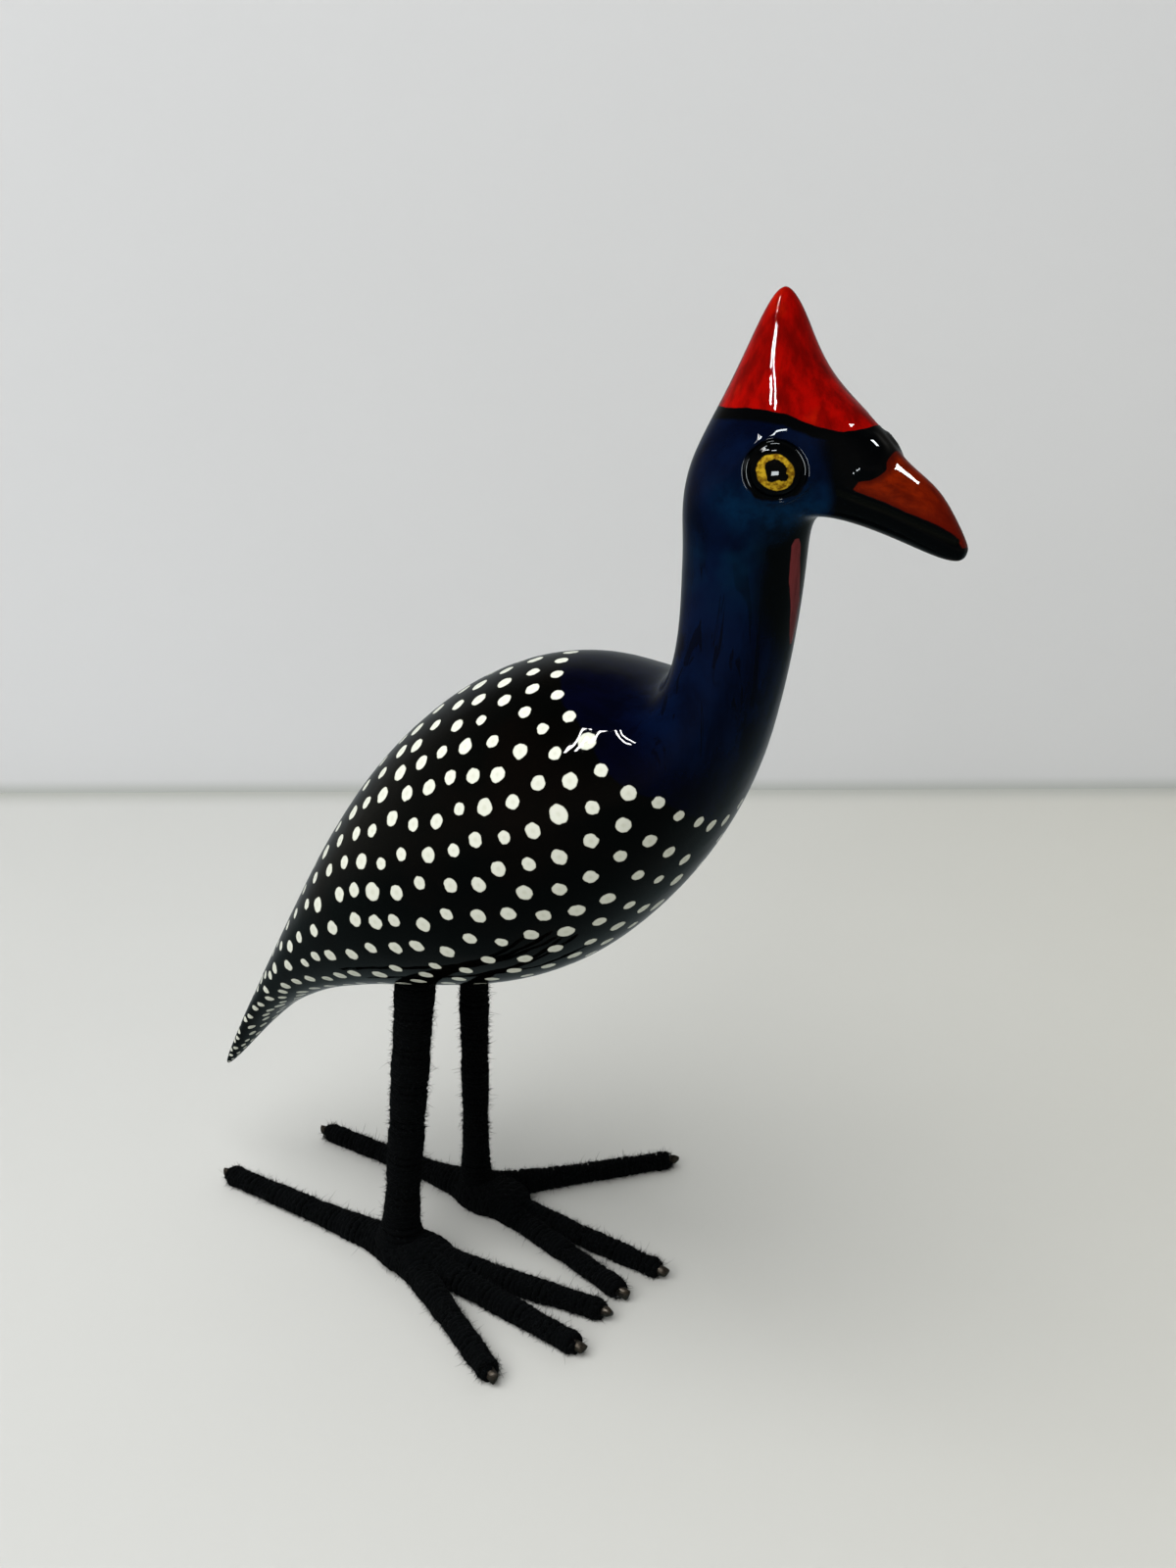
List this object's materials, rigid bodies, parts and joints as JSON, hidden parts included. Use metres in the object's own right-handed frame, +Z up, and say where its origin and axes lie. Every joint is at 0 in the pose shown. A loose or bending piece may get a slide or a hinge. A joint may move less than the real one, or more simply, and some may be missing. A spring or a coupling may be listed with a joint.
{
  "type": "carved wooden bird",
  "caption": "Carved, painted and lacquered wooden guinea fowl with a dotted body and a red casque, standing on wire legs wound with black yarn.",
  "frame": {"origin": "middle of the whole bird's footprint box, on the floor it stands on", "axes": "+X the way the bird looks, +Y its left side, +Z up"},
  "size_m": [0.1738, 0.0888, 0.2002],
  "materials": {
    "lacquered_wood": "painted and gloss lacquered",
    "steel_wire": "bare cut wire",
    "black_wool": "wound wool yarn"
  },
  "bodies": {
    "root": {"carved_bird": "lacquered_wood", "right_leg_wire": "steel_wire", "left_leg_wire": "steel_wire", "right_leg_yarn": "black_wool", "left_leg_yarn": "black_wool"}
  },
  "joints": []
}
